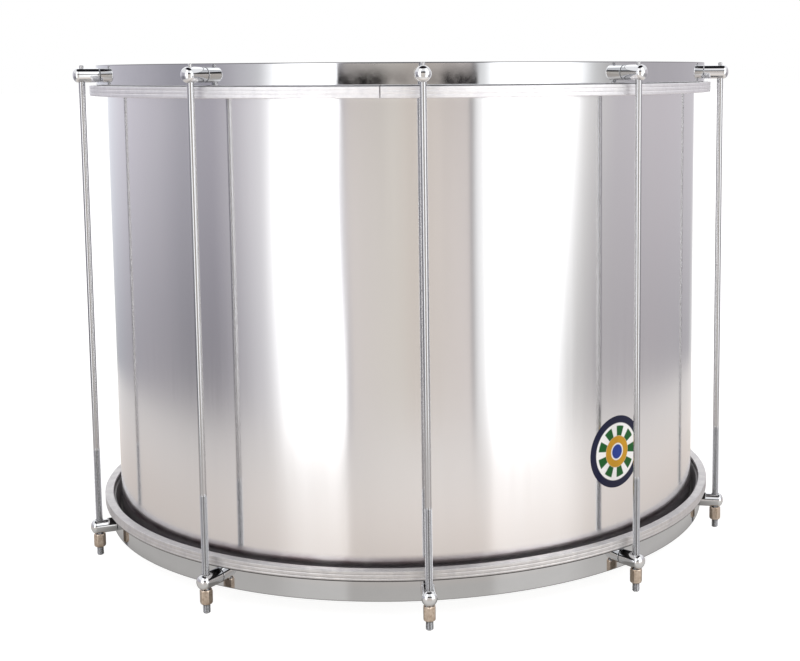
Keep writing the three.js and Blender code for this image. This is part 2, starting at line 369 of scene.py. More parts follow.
def tarnished_brass():
    """Turned brass hexagon bar, dulled by handling: tan, with browner patches."""
    material, place = new_material("tarnished_brass")
    patches = grain(material, place, (1, 1, 1), 3 * MM, 4, 0.65)
    browner = add_node(material, "MapRange", links=[patches, 0.35, 0.7, 0, 1])
    # Real turning marks are about 0.1 mm apart. They are drawn coarser, so that they show
    turning = grain(material, place, (0.02, 0.02, 1), 0.35 * MM, 2)
    bump = add_node(
        material, "Bump", links={"Strength": 0.4, "Distance": 0.02 * MM, "Height": turning}
    )
    shader = add_node(
        material,
        "BsdfPrincipled",
        links={
            "Base Color": add_node(material, "Mix", COLOURS, [browner, "#e6d6c6", "#b9a48f"]),
            "Metallic": 1.0,
            "Roughness": add_node(material, "MapRange", links=[patches, 0.3, 0.7, 0.26, 0.42]),
            "Normal": bump,
        },
    )
    return close_material(material, shader)


def milky_film():
    """Polyester film, milk white and half clear: a soft sheen on a finely roughened face, scuffed
    where mallets strike with grey smudges of a finger's width. Where the collar is drawn down between
    the shell and the hoop, it is painted grey as shade."""
    material, place = new_material("milky_polyester_film")
    cloud = grain(material, place, (1, 1, 1), 60 * MM, 3)
    smears = grain(material, place, (1, 1, 1), 16 * MM, 5, 0.7)
    # The real face is roughened with a grit of about 0.1 mm. It is drawn coarser, so that it shows
    tooth = grain(material, place, (1, 1, 1), 1.1 * MM, 2)
    bump = add_node(
        material, "Bump", links={"Strength": 0.3, "Distance": 0.02 * MM, "Height": tooth}
    )
    radius = from_axis(material, place)
    ragged = add_node(material, "Math", TIMES_PLUS, [cloud, STRUCK_RAGGED, radius])
    struck = add_node(material, "MapRange", SMOOTH, [ragged, STRUCK_FULL, STRUCK_END, 1, 0])
    smudge = add_node(material, "MapRange", links=[smears, 0.42, 0.68, 0.25, 1])
    scuff = add_node(material, "Math", TIMES, [struck, smudge])
    white = add_node(material, "Mix", COLOURS, [cloud, "#f6f6f2", "#ebece8"])
    face = add_node(material, "Mix", COLOURS, [scuff, white, "#cfccc5"])
    # The collar between the shell and the hoop is painted grey as shade
    collar_shade_end = shell_radius + COLLAR_SHADE_FADE
    collar = add_node(material, "MapRange", links=[radius, shell_radius, collar_shade_end, 0, 1])
    shader = add_node(
        material,
        "BsdfPrincipled",
        links={
            "Base Color": add_node(material, "Mix", COLOURS, [collar, face, "#757072"]),
            "Roughness": add_node(material, "MapRange", links=[tooth, 0.3, 0.7, 0.34, 0.5]),
            "IOR": 1.6,
            "Transmission Weight": 0.22,
            "Normal": bump,
        },
    )
    return close_material(material, shader)


def printed_vinyl():
    """Vinyl sticker, printed and laminated: flat inks with crisp edges under a weak gloss."""
    material, place = new_material("printed_vinyl")
    axes = add_node(material, "SeparateXYZ", links=[place])
    reach = add_node(material, "VectorMath", LENGTH, [place])
    share = add_node(material, "Math", {"operation": "DIVIDE"}, [reach, LABEL_DIAMETER / 2])
    across = [axes.outputs["Z"], axes.outputs["X"]]
    turn = add_node(material, "Math", {"operation": "ARCTAN2"}, across)
    rays = add_node(material, "Math", TIMES, [turn, LABEL_RAYS])
    wave = add_node(material, "Math", {"operation": "COSINE"}, [rays])
    in_ray = add_node(material, "MapRange", links=[wave, *LABEL_RAY_EDGE, 0, 1])
    colour = "#f4f4f2"
    for ink, inner, outer, is_rays in LABEL_PRINT:
        begins = [share, inner - LABEL_EDGE, inner + LABEL_EDGE, 0, 1]
        ends = [share, outer - LABEL_EDGE, outer + LABEL_EDGE, 1, 0]
        inside = add_node(material, "MapRange", links=begins)
        outside = add_node(material, "MapRange", links=ends)
        mask = add_node(material, "Math", TIMES, [inside, outside])
        if is_rays:
            mask = add_node(material, "Math", TIMES, [mask, in_ray])
        colour = add_node(material, "Mix", COLOURS, [mask, colour, ink])
    shader = add_node(
        material,
        "BsdfPrincipled",
        links={
            "Base Color": colour,
            "Roughness": 0.4,
            "IOR": 1.3,
            "Coat Weight": 0.15,
            "Coat Roughness": 0.1,
        },
    )
    return close_material(material, shader)


# Meshes


def arc(centre, radius, start, end, steps):
    """Points on a round corner, in degrees from the first axis towards the second."""
    angles = [math.radians(start + (end - start) * i / steps) for i in range(steps + 1)]
    return [(centre[0] + radius * math.cos(a), centre[1] + radius * math.sin(a)) for a in angles]


def rounded(corners, radius, steps):
    """A closed outline whose corners are rounded with one radius."""
    outline = []
    count = len(corners)
    for i, corner in enumerate(corners):
        here = Vector(corner)
        before = (Vector(corners[i - 1]) - here).normalized()
        after = (Vector(corners[(i + 1) % count]) - here).normalized()
        start, end = here + before * radius, here + after * radius
        for step in range(steps + 1):
            t = step / steps
            point = start * (1 - t) ** 2 + here * 2 * t * (1 - t) + end * t**2
            outline.append(tuple(point))
    return outline


def held(outline):
    """The outline with a point close to each end of a long run, where the outline turns, so that
    smooth shading bends only the corners and leaves the run flat."""
    corners = [Vector(corner) for corner in outline]
    count = len(corners)
    runs = [corners[(i + 1) % count] - corners[i] for i in range(count)]
    result = []
    for i, run in enumerate(runs):
        result.append(tuple(corners[i]))
        if run.length > LONG_RUN:
            step = run.normalized() * HOLD
            if runs[i - 1].angle(run) > HELD_TURN:
                result.append(tuple(corners[i] + step))
            if run.angle(runs[(i + 1) % count]) > HELD_TURN:
                result.append(tuple(corners[(i + 1) % count] - step))
    return result


def smooth_mesh(mesh, sharp=35):
    """Smooths a mesh but for the edges that turn by more than the given degrees."""
    mesh.shade_smooth()
    mesh.set_sharp_from_angle(angle=math.radians(sharp))


def mesh_of(name, points, faces, sharp=35):
    """A clean, smooth mesh with its faces outwards."""
    mesh = bpy.data.meshes.new(name)
    mesh.from_pydata(points, [], faces)
    work = bmesh.new()
    work.from_mesh(mesh)
    bmesh.ops.remove_doubles(work, verts=work.verts, dist=0.001 * MM)
    bmesh.ops.dissolve_degenerate(work, edges=work.edges, dist=0.0005 * MM)
    bmesh.ops.recalc_face_normals(work, faces=work.faces)
    work.to_mesh(mesh)
    work.free()
    smooth_mesh(mesh, sharp)
    return mesh


def revolve(name, outline, steps=RING_STEPS, start=0.0, sweep=360.0, shift=None, sharp=35):
    """Turns a closed outline of (radius, height) about +Z, and caps it if the sweep isn't whole."""
    whole = abs(sweep - 360) < 1e-9
    outline = held(outline)
    columns = steps if whole else steps + 1
    points = []
    for column in range(columns):
        angle = math.radians(start + sweep * column / steps)
        for radius, height in outline:
            out = radius + (shift(angle, height) if shift else 0)
            points.append((out * math.sin(angle), -out * math.cos(angle), height))
    count = len(outline)
    faces = []
    for column in range(steps):
        here, there = column * count, (column + 1) % columns * count
        for i in range(count):
            j = (i + 1) % count
            faces.append((here + i, there + i, there + j, here + j))
    if not whole:
        faces.append(tuple(range(count)))
        faces.append(tuple(range(steps * count, (steps + 1) * count)))
    return mesh_of(name, points, faces, sharp)


def between_rings(rings, columns, closed):
    """Faces from each ring of points to the next, and from the last to the first where closed."""
    faces = []
    for ring in range(rings if closed else rings - 1):
        here, above = ring * columns, (ring + 1) % rings * columns
        for column in range(columns):
            after = (column + 1) % columns
            faces.append((here + column, here + after, above + after, above + column))
    return faces


def object_of(name, mesh, material, place=(0, 0, 0), turn=0.0):
    """A scene object. Objects that share a mesh share its material too."""
    piece = bpy.data.objects.new(name, mesh)
    bpy.context.scene.collection.objects.link(piece)
    piece.location = place
    piece.rotation_euler = (0, 0, turn)
    if not mesh.materials:
        mesh.materials.append(material)
    return piece


def dress(name, mesh, material, node, body, place=(0, 0, 0), turn=0.0):
    """A finished piece that stands for one CAD node and rides on its body."""
    piece = object_of(name, mesh, material, place, turn)
    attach(piece, body)
    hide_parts(node)
    return piece


def drill_mesh(diameter, bottom, top, steps=HOLE_STEPS):
    """A plain round bar about +Z, to be cut out of a piece."""
    outline = [(0, bottom), (diameter / 2, bottom), (diameter / 2, top), (0, top)]
    return revolve("drill", outline, steps)


def cut(mesh, cutters):
    """Takes the cutters out of a mesh and smooths it again."""
    target = bpy.data.objects.new("target", mesh)
    bpy.context.scene.collection.objects.link(target)
    tools = []
    for cutter in cutters:
        tool = bpy.data.objects.new("cutter", cutter)
        bpy.context.scene.collection.objects.link(tool)
        change = target.modifiers.new("cut", "BOOLEAN")
        change.operation = "DIFFERENCE"
        change.solver = "EXACT"
        change.object = tool
        tools.append(tool)
    bpy.context.view_layer.update()
    shown = target.evaluated_get(bpy.context.evaluated_depsgraph_get())
    result = bpy.data.meshes.new_from_object(shown)
    for leftover in [target, *tools]:
        bpy.data.objects.remove(leftover)
    result.name = mesh.name
    smooth_mesh(result)
    return result


# Shell


def shell_wave(angle, height):
    """How far the thin wall stands out of round, in metres: none at the turned edges."""
    tall = shell_high.z - shell_low.z
    from_edge = tall / 2 - abs(height - shell_middle)
    free = min(1.0, max(0.0, from_edge / SHELL_TRUE_EDGE))
    free = free * free * (3 - 2 * free)
    rise = (height - shell_low.z) / tall
    wave = 0
    for count, size, start, twist, swell in SHELL_WAVES:
        wave += size * math.sin(count * angle + start + twist * rise) * math.cos(swell * rise)
    return SHELL_OUT_OF_ROUND * free * wave


def make_shell(material):
    """The wall, with both edges turned inwards."""
    top, bottom = shell_high.z, shell_low.z
    edge, wall = SHELL_EDGE_RADIUS, SHELL_WALL
    lip = shell_radius - SHELL_EDGE_FLANGE
    lower, upper = (shell_radius - edge, bottom + edge), (shell_radius - edge, top - edge)
    rise = (top - bottom - 2 * edge) / SHELL_LEVELS
    heights = [bottom + edge + rise * i for i in range(SHELL_LEVELS + 1)]
    outline = [(lip, bottom)]
    outline += arc(lower, edge, -90, 0, 6)[:-1]
    outline += [(shell_radius, height) for height in heights]
    outline += arc(upper, edge, 0, 90, 6)[1:]
    outline += [(lip, top), (lip, top - wall)]
    outline += arc(upper, edge - wall, 90, 0, 4)
    outline += [(shell_radius - wall, height) for height in reversed(heights[1:-1])]
    outline += arc(lower, edge - wall, 0, -90, 4)
    outline += [(lip, bottom + wall)]
    mesh = revolve("shell_wall", outline, shift=shell_wave)
    return dress("shell_wall", mesh, material, "shell", "shell_and_heads")


# Heads and hoops


def flip(outline, middle, is_top):
    """Places an upper end's outline about the middle, upside down for the lower end."""
    if is_top:
        return [(radius, middle + height) for radius, height in outline]
    return [(radius, middle - height) for radius, height in reversed(outline)]


def make_head(end, material):
    """A film that lies over the shell's edge, bends down and ends in a rim in the hoop's channel."""
    node = end + "_head_film"
    low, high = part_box(node)
    rim_low, rim_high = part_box(end + "_flesh_hoop")
    rim = abs((rim_low.z + rim_high.z) / 2 - shell_middle)
    face = max(abs(low.z - shell_middle), abs(high.z - shell_middle))
    under = face - FILM
    bend_out = shell_radius + FILM_GAP
    bend_in = bend_out - FILM_BEND_WIDTH
    collar = hoop_inside - FILM_RIM - FILM_GAP - FILM
    rim_out = flesh_inside + FLESH_CHANNEL_DEPTH - FILM_GAP
    discs = [bend_in * i / HEAD_DISCS for i in range(HEAD_DISCS)]
    outline = [(radius, under) for radius in discs]
    bend = [
        (bend_in + FILM_BEND_WIDTH * out, under - FILM_BEND_DROP * down)
        for out, down in FILM_BEND_SHAPE
    ]
    bend += [(bend_out, under - FILM_BEND_DROP)]
    outline += [(bend_in, under)] + bend
    outline += [(collar, rim - FILM_RIM / 2), (rim_out, rim - FILM_RIM / 2)]
    outline += [(rim_out, rim + FILM_RIM / 2), (collar + FILM, rim + FILM_RIM / 2)]
    outline += [(radius + FILM, height + FILM) for radius, height in reversed(bend)]
    outline += [(bend_in + FILM / 2, face)]
    outline += [(radius, face) for radius in reversed(discs)]
    mesh = revolve(node, flip(outline, shell_middle, end == "top"), HEAD_STEPS, sharp=60)
    return dress(end + "_head", mesh, material, node, "shell_and_heads")


def groove(outside, height):
    """A shallow round-bottomed groove in a flesh hoop's outer face."""
    shares = [i / FLESH_GROOVE_STEPS for i in range(FLESH_GROOVE_STEPS + 1)]
    return [
        (
            outside - FLESH_GROOVE_DEPTH * math.sin(math.pi * share),
            height + FLESH_GROOVE_WIDTH * (share - 0.5),
        )
        for share in shares
    ]


def make_flesh_hoop(end, material):
    """A slit ring with two grooves outside and a channel inside. The lower one's foot is rounder."""
    node = end + "_flesh_hoop"
    is_top = end == "top"
    low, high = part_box(node)
    half = (high.z - low.z) / 2
    middle = (high.z + low.z) / 2
    outside = flesh_inside + FLESH_WIDTH
    channel = FLESH_CHANNEL_HEIGHT / 2
    root = flesh_inside + FLESH_CHANNEL_DEPTH
    corner = FLESH_CORNER
    foot = corner if is_top else FLESH_FOOT_CORNER
    outline = arc((flesh_inside + corner, -half + corner), corner, 180, 270, 4)
    outline += arc((outside - foot, -half + foot), foot, -90, 0, 4)
    outline += groove(outside, -half / 3) + groove(outside, half / 3)
    outline += arc((outside - corner, half - corner), corner, 0, 90, 4)
    outline += arc((flesh_inside + corner, half - corner), corner, 90, 180, 4)
    outline += [(flesh_inside, channel), (root, channel), (root, -channel), (flesh_inside, -channel)]
    outline = [(radius, middle + height) for radius, height in outline]
    gap = math.degrees(FLESH_SLIT / (flesh_inside + FLESH_WIDTH / 2))
    slit = TOP_SLIT_ANGLE if is_top else BOTTOM_SLIT_ANGLE
    mesh = revolve(node, outline, start=slit + gap / 2, sweep=360 - gap, sharp=50)
    body = "upper_hoop" if is_top else "lower_hoop"
    return dress(end + "_flesh_ring", mesh, material, node, body)


def station_angle(index):
    """Where a rod stands round the drum, from the first one on -Y."""
    return index * 2 * math.pi / STATIONS


def make_counterhoop(end, material):
    """A flat band with rounded edges and a hole for each barrel's spigot."""
    node = end + "_counterhoop"
    low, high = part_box(node)
    outside = hoop_inside + HOOP_THICKNESS
    corners = [(hoop_inside, low.z), (outside, low.z), (outside, high.z), (hoop_inside, high.z)]
    mesh = revolve(node, rounded(corners, HOOP_EDGE, 4), sharp=50)
    middle = (low.z + high.z) / 2
    reach = HOOP_THICKNESS * 2
    drills = []
    for index in range(STATIONS):
        drill = drill_mesh(SPIGOT + 2 * BARREL_GAP, -reach, reach, RIVET_HOLE_STEPS)
        drill.transform(Matrix.Rotation(math.pi / 2, 4, "X"))
        drill.transform(Matrix.Translation((0, -hoop_inside - HOOP_THICKNESS / 2, middle)))
        drill.transform(Matrix.Rotation(station_angle(index), 4, "Z"))
        drills.append(drill)
    mesh = cut(mesh, drills)
    body = "upper_hoop" if end == "top" else "lower_hoop"
    return dress(end + "_counterhoop_band", mesh, material, node, body)


# Tensioning hardware


def barrel_mesh(is_top):
    """A barrel lying along the drum's radius, outwards along -Y, with the rod's axis on +Z. The
    upper one has a socket for the rod and the lower one a through hole."""
    radius, edge = BARREL / 2, BARREL_EDGE
    outer_face = hoop_inside + HOOP_THICKNESS - rod_circle + BARREL_GAP
    inner_face = hoop_inside - rod_circle - BARREL_GAP
    dome_start = BARREL_BEYOND_ROD - BARREL_DOME
    rivet_turns = [math.radians(angle) for angle in range(0, 91, 15)]
    dome_turns = [math.radians(angle) for angle in range(0, 90, 6)]
    outline = [
        (RIVET / 2 * math.sin(turn), inner_face - RIVET_HEIGHT * math.cos(turn))
        for turn in rivet_turns
    ]
    outline += [(SPIGOT / 2, inner_face), (SPIGOT / 2, outer_face)]
    outline += arc((radius - edge, outer_face + edge), edge, -90, 0, 3)
    outline += [
        (radius * math.cos(turn), dome_start + BARREL_DOME * math.sin(turn)) for turn in dome_turns
    ]
    outline += [(0, BARREL_BEYOND_ROD)]
    body = revolve("barrel", outline, BARREL_STEPS)
    body.transform(Matrix.Rotation(math.pi / 2, 4, "X"))
    over = radius + DRILL_PAST
    if is_top:
        drills = [
            drill_mesh(SHANK + 2 * BARREL_GAP, -over, -radius + SOCKET_DEPTH),
            drill_mesh(STUB + 2 * BARREL_GAP, -over, over),
        ]
    else:
        drills = [drill_mesh(THREAD + 2 * BARREL_GAP, -over, over)]
    return cut(body, drills)


def thread_radius(angle, height):
    """The radius of a right-handed rolled thread with narrow flat crests. It rises out of the
    shank over its last two turns, and its tip is chamfered."""
    phase = (height / THREAD_PITCH - angle / (2 * math.pi)) % 1
    from_crest = abs(2 * phase - 1)
    down = min(1.0, max(0.0, (from_crest - THREAD_FLAT) / THREAD_FLANK))
    fade = min(1.0, (THREAD_LENGTH - height) / (2 * THREAD_PITCH))
    crest = (SHANK + (THREAD - SHANK) * fade) / 2
    return min(crest - THREAD_DEPTH * fade * down, THREAD / 2 - TIP_CHAMFER + height)


def rod_rings():
    """The rod from its tip up: each ring's height, and its radius unless the thread gives it."""
    shank, stub = SHANK / 2, STUB / 2
    shoulder = upper_barrel_z - BARREL / 2 + SOCKET_DEPTH - BARREL_GAP
    end = rod_high.z
    thread_rings = int(THREAD_LENGTH / THREAD_PITCH * THREAD_STEPS) + 1
    rings = [(i * THREAD_PITCH / THREAD_STEPS, None) for i in range(thread_rings)]
    rings += [
        (THREAD_LENGTH + ROD_GUARD, shank),
        (THREAD_LENGTH + 2.5 * ROD_GUARD, shank),
        (shoulder - ROD_CHAMFER - ROD_GUARD, shank),
        (shoulder - ROD_CHAMFER, shank),
        (shoulder, shank - ROD_CHAMFER),
        (shoulder, stub),
        (end - ROD_CHAMFER - ROD_GUARD, stub),
        (end - ROD_CHAMFER, stub),
        (end, stub - ROD_CHAMFER),
    ]
    return rings


def rod_mesh():
    """A tension rod standing on its own axis: chamfered tip, rolled thread, shank, narrow stub."""
    rings = rod_rings()
    points = []
    for height, radius in rings:
        for step in range(ROD_STEPS):
            angle = 2 * math.pi * step / ROD_STEPS
            out = thread_radius(angle, height) if radius is None else radius
            points.append((out * math.cos(angle), out * math.sin(angle), height))
    faces = between_rings(len(rings), ROD_STEPS, False)
    faces.append(tuple(range(ROD_STEPS - 1, -1, -1)))
    faces.append(tuple(range(len(points) - ROD_STEPS, len(points))))
    return mesh_of("tension_rod", points, faces, sharp=50)


def nut_mesh():
    """A hexagon nut whose corners are turned off by a cone at each end, bored and countersunk."""
    half_flats = NUT_FLATS / 2
    height = nut_high.z - nut_low.z
    corner = half_flats / math.cos(math.pi / 6)
    cone = NUT_CHAMFER_DROP / (corner - half_flats)
    angles = [math.radians(60 * side) + math.radians(a) for side in range(6) for a in NUT_ANGLES]
    levels = [*NUT_LEVELS, *(height - level for level in reversed(NUT_LEVELS))]
    points = []
    for level in levels:
        turned = half_flats - NUT_FACE + min(level, height - level) / cone
        for angle in angles:
            off = (angle + math.pi / 6) % (math.pi / 3) - math.pi / 6
            hexagon = min(half_flats / math.cos(off), corner - NUT_CORNER_ROUND)
            out = min(hexagon, turned)
            points.append((out * math.cos(angle), out * math.sin(angle), level))
    bore = THREAD / 2 + BARREL_GAP
    sink = NUT_SINK
    hole = [(bore + sink, height), (bore, height - sink), (bore, sink), (bore + sink, 0)]
    for radius, level in hole:
        for angle in angles:
            points.append((radius * math.cos(angle), radius * math.sin(angle), level))
    faces = between_rings(len(levels) + len(hole), len(angles), True)
    return mesh_of("tuning_nut", points, faces, sharp=24)


def make_hardware(finish):
    """Ten upright rods, each with its two barrels and its nut."""
    upper, lower = barrel_mesh(True), barrel_mesh(False)
    rod, nut = rod_mesh(), nut_mesh()
    for index in range(STATIONS):
        number = f"_{index + 1:02d}"
        angle = station_angle(index)
        x, y = rod_circle * math.sin(angle), -rod_circle * math.cos(angle)
        rows = (
            ("upper_barrel", upper, "chrome", "top_barrel", "upper_hoop", "barrel", upper_barrel_z),
            ("lower_barrel", lower, "chrome", "bottom_barrel", "lower_hoop", "barrel", lower_barrel_z),
            ("threaded_rod", rod, "zinc", "tension_rod", "upper_hoop", "rod", 0.0),
            ("hexagon_nut", nut, "brass", "tuning_nut", "nut" + number, "nut", nut_low.z),
        )
        for name, mesh, material, node, body, slot, height in rows:
            place = (x, y, height)
            dress(name + number, mesh, finish[material], node + number, body, place, angle)


# Label


def on_wall(across, up, proud):
    """A place on the label, from its middle along the curved wall and up, and proud of the wall."""
    angle = math.radians(LABEL_ANGLE) + across / shell_radius
    height = LABEL_HEIGHT + up
    out = shell_radius + shell_wave(angle, height) + proud
    return Vector((out * math.sin(angle), -out * math.cos(angle), height))


def label_points():
    """The label's face and its back, each a middle point and rings round it."""
    points = []
    for proud in (LABEL_THICKNESS, LABEL_LIFT):
        points.append(on_wall(0, 0, proud))
        for ring in range(1, LABEL_RINGS + 1):
            reach = LABEL_DIAMETER / 2 * ring / LABEL_RINGS
            for step in range(LABEL_STEPS):
                turn = 2 * math.pi * step / LABEL_STEPS
                points.append(on_wall(reach * math.cos(turn), reach * math.sin(turn), proud))
    return points


def label_faces():
    """Both sides of the label and its rim."""
    side = 1 + LABEL_RINGS * LABEL_STEPS
    rim = side - LABEL_STEPS
    faces = []
    for base in (0, side):
        for step in range(LABEL_STEPS):
            after = (step + 1) % LABEL_STEPS
            faces.append((base, base + 1 + step, base + 1 + after))
            for ring in range(LABEL_RINGS - 1):
                here = base + 1 + ring * LABEL_STEPS
                there = here + LABEL_STEPS
                faces.append((here + step, there + step, there + after, here + after))
    for step in range(LABEL_STEPS):
        after = (step + 1) % LABEL_STEPS
        faces.append((rim + step, rim + after, side + rim + after, side + rim + step))
    return faces


def make_label(material):
    """A thin round label that lies on the curved wall, with its print about its own middle."""
    centre = math.radians(LABEL_ANGLE)
    middle = on_wall(0, 0, 0)
    turn = Matrix.Rotation(-centre, 4, "Z")
    local = [tuple(turn @ (point - middle)) for point in label_points()]
    mesh = mesh_of("round_label", local, label_faces(), sharp=50)
    piece = object_of("round_label", mesh, material, middle, centre)
    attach(piece, "shell_and_heads")
    return piece


# Camera. Its place and its angles in radians are fitted to the rods, the hoops and the silhouettes

FRAME_WIDTH, FRAME_HEIGHT = 800, 661
PRINCIPAL_X, PRINCIPAL_Y = 505.0, 225.0  # the pixel on the lens axis
FOCAL_PIXELS = 1364.7
SENSOR = 36.0
CAMERA_DISTANCE = 4.4167 * rod_circle
CAMERA_HEIGHT = upper_barrel_z + 0.0039 * rod_circle
CAMERA_TURN = 0.04485
CAMERA_YAW = 0.0722
CAMERA_PITCH = 0.1119
CAMERA_ROLL = 0.0055


def make_camera():
    data = bpy.data.cameras.new("camera")
    data.sensor_fit = "HORIZONTAL"
    data.sensor_width = SENSOR
    data.lens = FOCAL_PIXELS / FRAME_WIDTH * SENSOR
    data.shift_x = (FRAME_WIDTH / 2 - PRINCIPAL_X) / FRAME_WIDTH
    data.shift_y = (PRINCIPAL_Y - FRAME_HEIGHT / 2) / FRAME_WIDTH
    data.clip_start = 0.02
    camera = bpy.data.objects.new("camera", data)
    bpy.context.scene.collection.objects.link(camera)
    away = Matrix.Rotation(-CAMERA_TURN, 4, "Z") @ Vector((0, -CAMERA_DISTANCE, 0))
    camera.matrix_world = (
        Matrix.Translation((away.x, away.y, CAMERA_HEIGHT))
        @ Matrix.Rotation(-CAMERA_TURN - CAMERA_YAW, 4, "Z")
        @ Matrix.Rotation(math.pi / 2 - CAMERA_PITCH, 4, "X")
        @ Matrix.Rotation(-CAMERA_ROLL, 4, "Z")
    )
    bpy.context.scene.camera = camera


# Floor

FLOOR_HALF = 30.0
FLOOR_DROP = 0.05 * MM  # the rods' tips stand this far clear of it
FLOOR_WHITE = 0.87  # brings the matt floor up to white for the camera
FLOOR_VARNISH_IOR = 1.25
FLOOR_VARNISH_ROUGHNESS = 0.12
# What metal sees of it. Each fade goes from its first to its second number, in metres from the
# drum's middle or along x, and takes the light from its third number to its fourth
FLOOR_UNDER_DRUM = (0.275, 0.335, 0.3, 0.95)
FLOOR_ROUND_FOOT = (0.36, 0.55, 0.79, 1)
FLOOR_TO_LEFT = (-0.5, 0, 0.74, 1)
FLOOR_TO_RIGHT = (0.15, 0.6, 1, 0.84)
FLOOR_ENDS = (0.74, 0.98, 0, 1)  # beyond these metal sees the room instead
FLOOR_FOOT_TINT = "#f2eee9"
FLOOR_TINTS = ((0.36, 0.4, "#fff3ea"), (0.4, 0.7, "#fffaf6"))  # where each starts and is full


def floor_glow(material, place, reach):
    """The floor's light as metal sees it: darker under the drum, round its foot and to the sides."""
    x = add_node(material, "SeparateXYZ", links=[place]).outputs["X"]
    lit = add_node(material, "MapRange", SMOOTH, [reach, *FLOOR_UNDER_DRUM])
    for value, fade in ((x, FLOOR_TO_LEFT), (x, FLOOR_TO_RIGHT), (reach, FLOOR_ROUND_FOOT)):
        shade = add_node(material, "MapRange", links=[value, *fade])
        lit = add_node(material, "Math", TIMES, [lit, shade])
    tint = FLOOR_FOOT_TINT
    for start, full, colour in FLOOR_TINTS:
        share = add_node(material, "MapRange", links=[reach, start, full, 0, 1])
        tint = add_node(material, "Mix", COLOURS, [share, tint, colour])
    return add_node(material, "Emission", links={"Color": tint, "Strength": lit})


def pale_floor():
    """A pale matt sweep. The camera sees it white with a soft shadow. Metal sees it lit near by,
    under a thin varnish, and the room beyond."""
    material, place = new_material("pale_floor")
    material.cycles.emission_sampling = "NONE"
    reach = add_node(material, "VectorMath", LENGTH, [place])
    glow = floor_glow(material, place, reach)
    gloss = add_node(material, "BsdfAnisotropic", links={"Roughness": FLOOR_VARNISH_ROUGHNESS})
    varnish = add_node(material, "Fresnel", links={"IOR": FLOOR_VARNISH_IOR})
    varnished = add_node(material, "MixShader", links=[varnish, glow, gloss])
    ends = add_node(material, "MapRange", SMOOTH, [reach, *FLOOR_ENDS])
    clear = add_node(material, "BsdfTransparent")
    for_metal = add_node(material, "MixShader", links=[ends, varnished, clear])
    matt = add_node(material, "BsdfDiffuse", links={"Color": "#b4b3b2"})
    white = add_node(material, "Emission", links={"Color": "#ffffff", "Strength": FLOOR_WHITE})
    for_camera = add_node(material, "AddShader", links=[matt, white])
    is_camera = add_node(material, "LightPath").outputs["Is Camera Ray"]
    both = add_node(material, "MixShader", links=[is_camera, for_metal, for_camera])
    return close_material(material, both)


def make_floor():
    half = FLOOR_HALF
    corners = [(-half, -half, 0), (half, -half, 0), (half, half, 0), (-half, half, 0)]
    mesh = bpy.data.meshes.new("floor")
    mesh.from_pydata(corners, [], [(0, 1, 2, 3)])
    floor = object_of("floor", mesh, pale_floor())
    floor.location.z = -FLOOR_DROP


# The studio as the metal sees it. Directions are degrees round from the camera, and degrees up.

# The walls all round
WALLS = (
    (-180, "#ffffff"),
    (-166, "#ffffff"),
    (-158, "#e8eaf2"),
    (-131, "#d5d2db"),
    (-105, "#c5c2ca"),
    (-92, "#b3b1b9"),
    (-76, "#b0adb6"),
    (-66, "#cac7cd"),
    (-58, "#e0dee2"),
    (-46, "#ffffff"),
    (-26, "#ffffff"),
    (-24.4, "#a8a6b0"),
    (-22, "#e0d9d5"),
    (-4, "#ded8d0"),
    (2, "#dad1c8"),
    (22.4, "#e1d9d5"),
    (24.3, "#a3a0a2"),
    (25.8, "#ffffff"),
    (67, "#ffffff"),
    (77, "#d8d6d5"),
    (87, "#c8c4c8"),
    (120, "#cac5ca"),
    (160, "#ccc9ce"),
    (172, "#ffffff"),
    (180, "#ffffff"),
)
# Softboxes, ceiling and dark shapes: where each starts, is full, ends being full and stops
LEFT_SOFTBOX = (-56, -42, -26.3, -24.8)
RIGHT_SOFTBOX = (26.5, 34, 58, 73)
SOFTBOX_RISE = (-40, -25, 48, 54)
SOFTBOX_LIGHT = 2.2
LIT_CEILING = (14, 20, 50, 57)
DARK_CEILING = (56, 62)  # this one has no end
# Across, up and colour: the wall behind the camera, and three low things at the floor's far end
DARK_SHAPES = (
    ((-25, -23, 29, 32), (8, 10, 21, 25), "#18181c"),
    ((-25.5, -24.8, 24.5, 26), (-0.75, -0.45, -0.3, 0.6), "#a39c96"),
    ((-25.5, -24.8, -10, -4), (-1.2, -0.75, -0.3, 0.3), "#08070a"),
    ((11, 15, 24.5, 26), (-1.2, -0.75, -0.3, 0.3), "#121014"),
)
BACKDROP_TURN = (140, 158)
BACKDROP_RISE = (2, 12, 50, 60)
BACKDROP_LIGHT = 1.35
# The left part of the room stands further in low down, and above the horizon, and the right part
# low down. Each fade goes between its first two angles, from its third number to its fourth
LEFT_PART = (-30, -8, 1, 0)
LEFT_LOW = (-15, -8, -3.4, 0)
LEFT_HIGH = (-2, -0.3, 0, -2.5)
RIGHT_PART = (30, 50, 0, 1)
RIGHT_LOW = (-14, 0, 12.6, 0)
# The room is darker low down, most at its sides, in fades of the same kind
LEFT_SHADE = (-78, -50, 1, 0)
RIGHT_SHADE = (60, 85, 0, 0.6)
SIDE_SHADE_RISE = (-14, 1, 0.44, 0)
LOW_SHADE = (-15, -6, 0.9, 1.03)


def within(owner, value, stops):
    """1 between the middle two stops, falling to 0 at the outer two."""
    start, full, last, end = stops
    rising = add_node(owner, "MapRange", SMOOTH, [value, start, full, 0, 1])
    falling = add_node(owner, "MapRange", SMOOTH, [value, last, end, 1, 0])
    return add_node(owner, "Math", TIMES, [rising, falling])


def patch(owner, azimuth, elevation, across, up):
    """A part of the room with soft edges: 1 within both rows of stops."""
    masks = [within(owner, azimuth, across), within(owner, elevation, up)]
    return add_node(owner, "Math", TIMES, masks)


